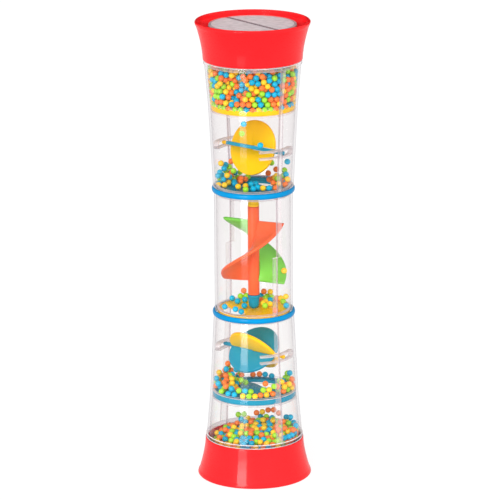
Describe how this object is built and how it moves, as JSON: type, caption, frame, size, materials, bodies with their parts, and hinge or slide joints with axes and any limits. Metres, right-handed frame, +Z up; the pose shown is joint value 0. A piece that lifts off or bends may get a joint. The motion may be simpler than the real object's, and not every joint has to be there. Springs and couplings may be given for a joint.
{
  "type": "rainstick",
  "caption": "Clear waisted tube with flared end caps, clamping rings and pierced baffles; beads rain through it over paddle wheels and a spiral rotor.",
  "frame": {"origin": "centre of the face the stick stands on, on the tube's axis", "axes": "+Z up along the tube's axis; the seam between the half shells is 53 degrees clockwise from +X seen from above"},
  "size_m": [0.075, 0.075, 0.305],
  "materials": {
    "clear": "clear polished moulding",
    "cap_red": "satin gloss",
    "ring_blue": "gloss",
    "inner_yellow": "gloss",
    "inner_teal": "gloss",
    "spiral_orange": "gloss",
    "spiral_green": "gloss",
    "bead_orange": "satin",
    "bead_yellow": "satin",
    "bead_green": "satin",
    "bead_blue": "satin"
  },
  "bodies": {
    "tube": {"shell_half_front": "clear", "shell_half_rear": "clear", "top_cap": "cap_red", "base_cap": "cap_red", "upper_ring": "ring_blue", "lower_ring": "ring_blue", "top_baffle": "inner_yellow", "upper_baffle": "inner_teal", "lower_baffle": "inner_yellow", "bottom_baffle": "inner_teal", "clinging_bead_1": "bead_blue", "clinging_bead_2": "bead_green", "clinging_bead_3": "bead_blue", "clinging_bead_4": "bead_blue"},
    "upper_wheel": {"upper_wheel_yellow_disc": "inner_yellow", "upper_wheel_teal_disc": "inner_teal"},
    "spiral": {"spiral_shaft": "spiral_orange", "spiral_green_blade": "spiral_green", "spiral_top_plug": "inner_yellow", "spiral_bottom_plug": "inner_teal", "clinging_bead_5": "bead_yellow"},
    "lower_wheel": {"lower_wheel_yellow_disc": "inner_yellow", "lower_wheel_teal_disc": "inner_teal"},
    "top_beads": {"top_pile": "bead_orange"},
    "upper_wheel_beads": {"upper_wheel_pile": "bead_orange"},
    "spiral_beads": {"spiral_pile": "bead_orange"},
    "lower_wheel_beads": {"lower_wheel_pile": "bead_orange"},
    "bottom_beads": {"bottom_pile": "bead_orange"}
  },
  "joints": [
    {"name": "upper_wheel_spin", "type": "hinge", "parent": "tube", "child": "upper_wheel", "pos_m": [0, 0, 0.2209], "axis": [0.766, -0.6428, 0], "continuous": true},
    {"name": "spiral_spin", "type": "hinge", "parent": "tube", "child": "spiral", "pos_m": [0, 0, 0.1525], "axis": [0, 0, 1], "continuous": true},
    {"name": "lower_wheel_spin", "type": "hinge", "parent": "tube", "child": "lower_wheel", "pos_m": [0, 0, 0.0841], "axis": [0.766, -0.6428, 0], "continuous": true},
    {"name": "top_beads_lift", "type": "slide", "parent": "tube", "child": "top_beads", "axis": [0, 0, 1], "range_m": [0, 0.018]},
    {"name": "upper_wheel_beads_lift", "type": "slide", "parent": "tube", "child": "upper_wheel_beads", "axis": [0, 0, 1], "range_m": [0, 0.004]},
    {"name": "spiral_beads_lift", "type": "slide", "parent": "tube", "child": "spiral_beads", "axis": [0, 0, 1], "range_m": [0, 0.006]},
    {"name": "lower_wheel_beads_lift", "type": "slide", "parent": "tube", "child": "lower_wheel_beads", "axis": [0, 0, 1], "range_m": [0, 0.004]},
    {"name": "bottom_beads_lift", "type": "slide", "parent": "tube", "child": "bottom_beads", "axis": [0, 0, 1], "range_m": [0, 0.008]}
  ]
}
